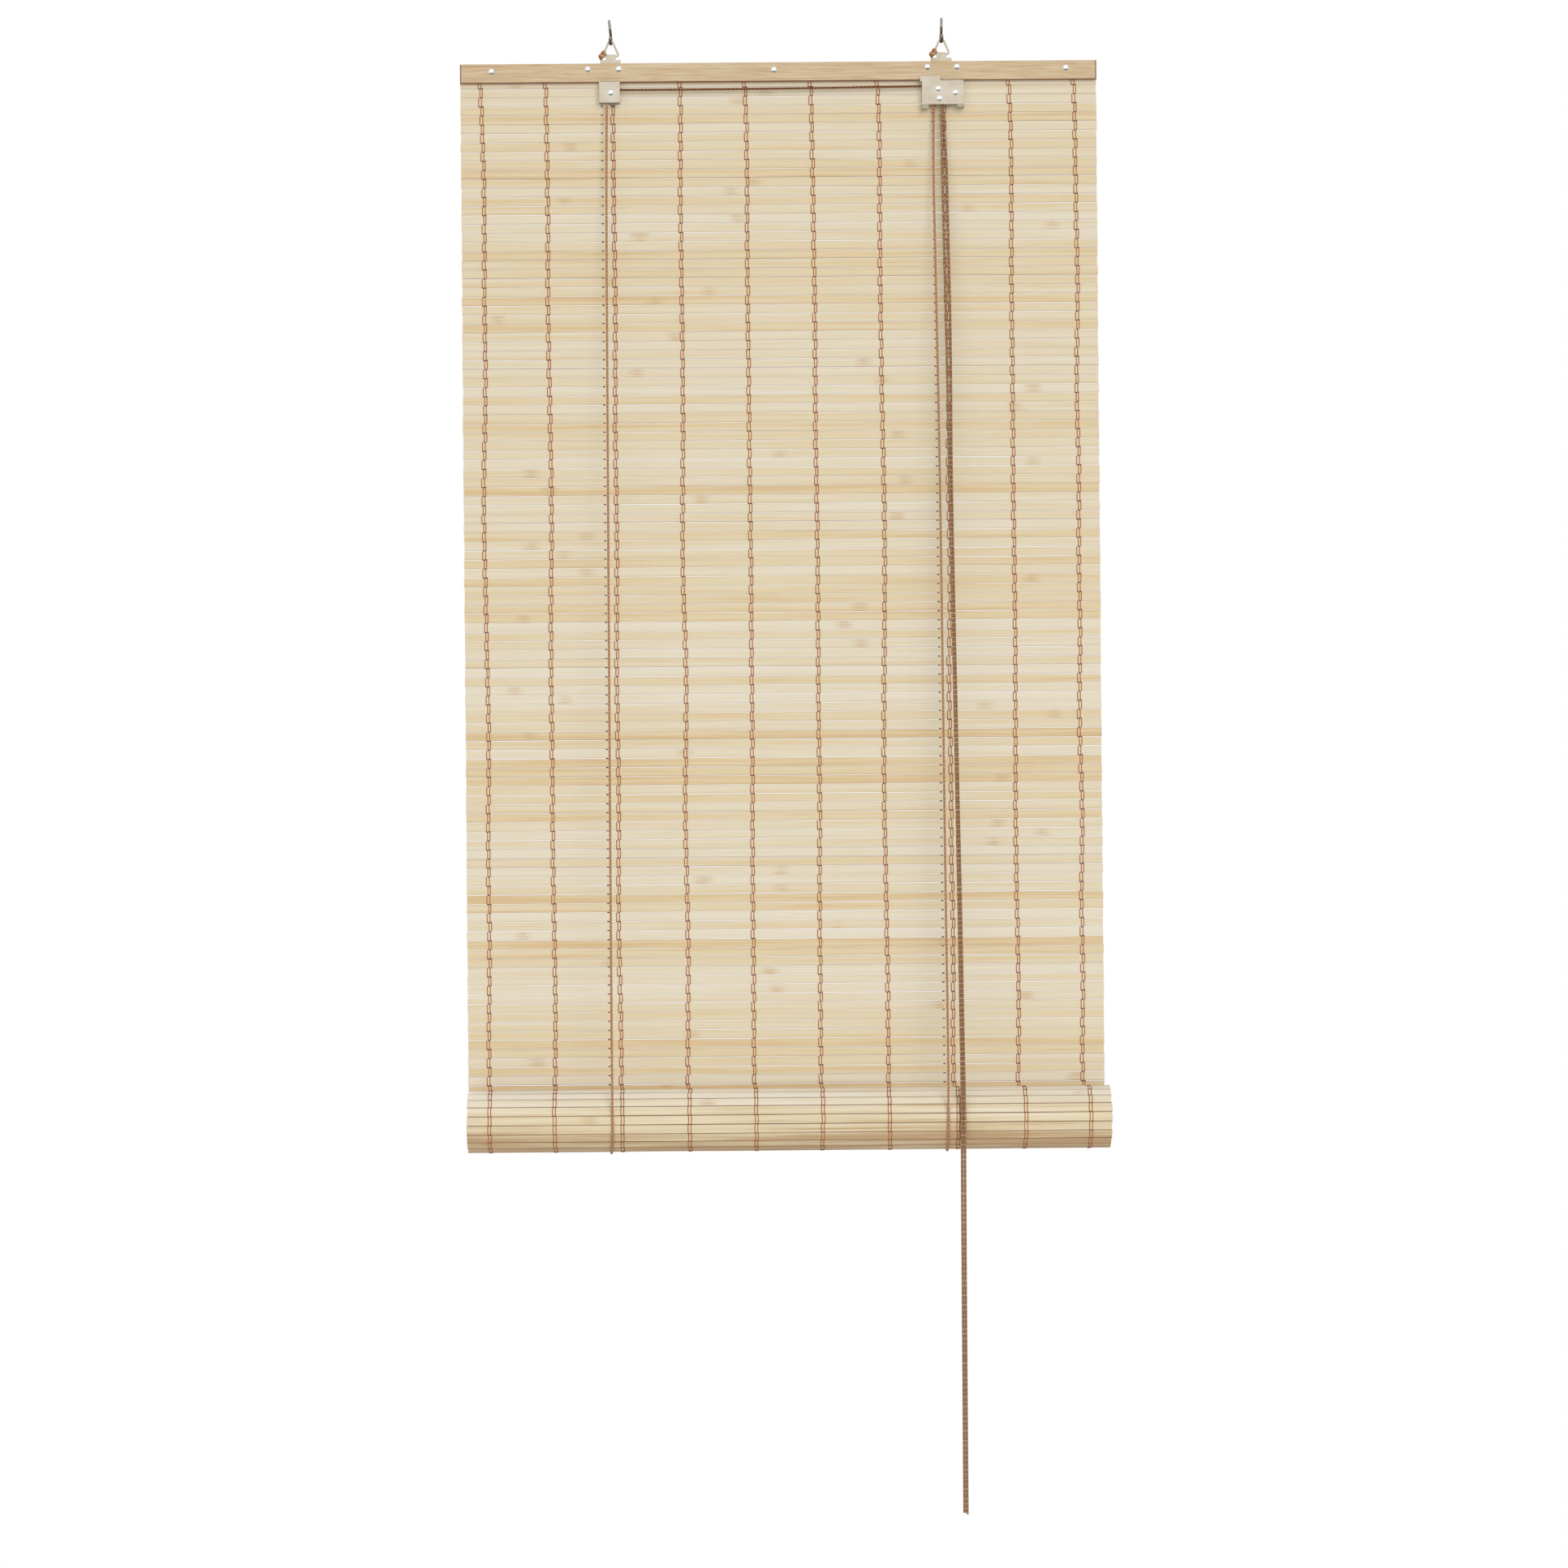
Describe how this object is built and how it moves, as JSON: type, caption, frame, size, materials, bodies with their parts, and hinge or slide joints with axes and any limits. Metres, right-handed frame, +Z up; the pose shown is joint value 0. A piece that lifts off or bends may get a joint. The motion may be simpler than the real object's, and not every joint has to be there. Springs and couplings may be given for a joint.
{
  "type": "roll up blind",
  "caption": "Roll up blind of split bamboo slats on a riveted head rail, hung by wire rings from ceiling screw hooks, with a pulley, a cord lock and free pull cords.",
  "frame": {"origin": "midway between the two ceiling screws, in the plane of the ceiling", "axes": "+Z up along the screws into the ceiling, +X to the right of a viewer in the room along the head rail, +Y away from the viewer towards the window"},
  "size_m": [0.8029, 0.0927, 1.8695],
  "materials": {
    "hook_steel": "zinc plated wire",
    "ring_enamel": "cream enamelled wire",
    "bracket_enamel": "cream enamelled sheet, satin",
    "cover_enamel": "warm beige enamelled sheet, satin",
    "rivet": "bright domed rivets",
    "rail_wood": "planed bamboo slat, fine grain",
    "slat_bamboo": "split bamboo, matt inner side",
    "roll_bamboo": "split bamboo, matt inner side",
    "thread": "brown sewing thread",
    "cord": "brown speckled braid",
    "pulley_nylon": "moulded nylon",
    "cam_steel": "sintered toothed cam"
  },
  "bodies": {
    "hooks": {"hook_left": "hook_steel", "hook_right": "hook_steel"},
    "rings": {"ring_left": "ring_enamel", "ring_right": "ring_enamel", "knot_left": "cord", "knot_right": "cord"},
    "headrail": {"rail_front": "rail_wood", "rail_back": "rail_wood", "rail_rivets": "rivet", "axle_rivets": "rivet", "bracket_left": "bracket_enamel", "bracket_right": "bracket_enamel", "cover_left": "cover_enamel", "cover_right": "cover_enamel", "mat": "slat_bamboo", "stitches_front": "thread", "stitches_back": "thread", "tie_left": "cord", "tie_right": "cord", "rear_run_left": "cord", "rear_run_right": "cord", "front_run_left": "cord", "front_run_right": "cord", "cross_cord": "cord", "lock_cord": "cord", "pull_upper_a": "cord", "pull_upper_b": "cord"},
    "pulley_left": {"pulley_left": "pulley_nylon"},
    "pulley_right": {"pulley_right": "pulley_nylon"},
    "lock_cam": {"lock_cam": "cam_steel"},
    "slings": {"sling_left": "cord", "sling_right": "cord", "pull_tail_a": "cord", "pull_tail_b": "cord"},
    "roll": {"slat_roll": "roll_bamboo", "bottom_batten": "rail_wood"}
  },
  "joints": [
    {"name": "rings_swing", "type": "hinge", "parent": "hooks", "child": "rings", "pos_m": [0, 0, -0.0114], "axis": [1, 0, 0], "range_deg": [-45, 45]},
    {"name": "rail_tilt", "type": "hinge", "parent": "rings", "child": "headrail", "pos_m": [0, 0, -0.03], "axis": [1, 0, 0], "range_deg": [-30, 30]},
    {"name": "roll_lift", "type": "slide", "parent": "headrail", "child": "slings", "axis": [0, 0, 1], "range_m": [0, 1.15], "deforming": ["mat", "stitches_front", "stitches_back", "rear_run_left", "rear_run_right", "front_run_left", "front_run_right", "pull_upper_a", "pull_upper_b"]},
    {"name": "roll_spin", "type": "hinge", "parent": "slings", "child": "roll", "pos_m": [0.0054, -0.0385, -1.3628], "axis": [1, 0, 0], "range_deg": [-1440.5, 0.5]},
    {"name": "left_pulley_spin", "type": "hinge", "parent": "headrail", "child": "pulley_left", "pos_m": [-0.20815, -0.0067, -0.0775], "axis": [0, 1, 0], "continuous": true},
    {"name": "right_pulley_spin", "type": "hinge", "parent": "headrail", "child": "pulley_right", "pos_m": [0.20335, -0.0067, -0.0751], "axis": [0, 1, 0], "continuous": true},
    {"name": "cam_release", "type": "hinge", "parent": "headrail", "child": "lock_cam", "pos_m": [0.22505, -0.0067, -0.0802], "axis": [0, -1, 0], "range_deg": [0, 30]}
  ],
  "couplings": [
    {"joint": "roll_spin", "follows": "roll_lift", "rad_per_m": -21.855},
    {"joint": "left_pulley_spin", "follows": "roll_lift", "rad_per_m": 416.67},
    {"joint": "right_pulley_spin", "follows": "roll_lift", "rad_per_m": 416.67}
  ]
}
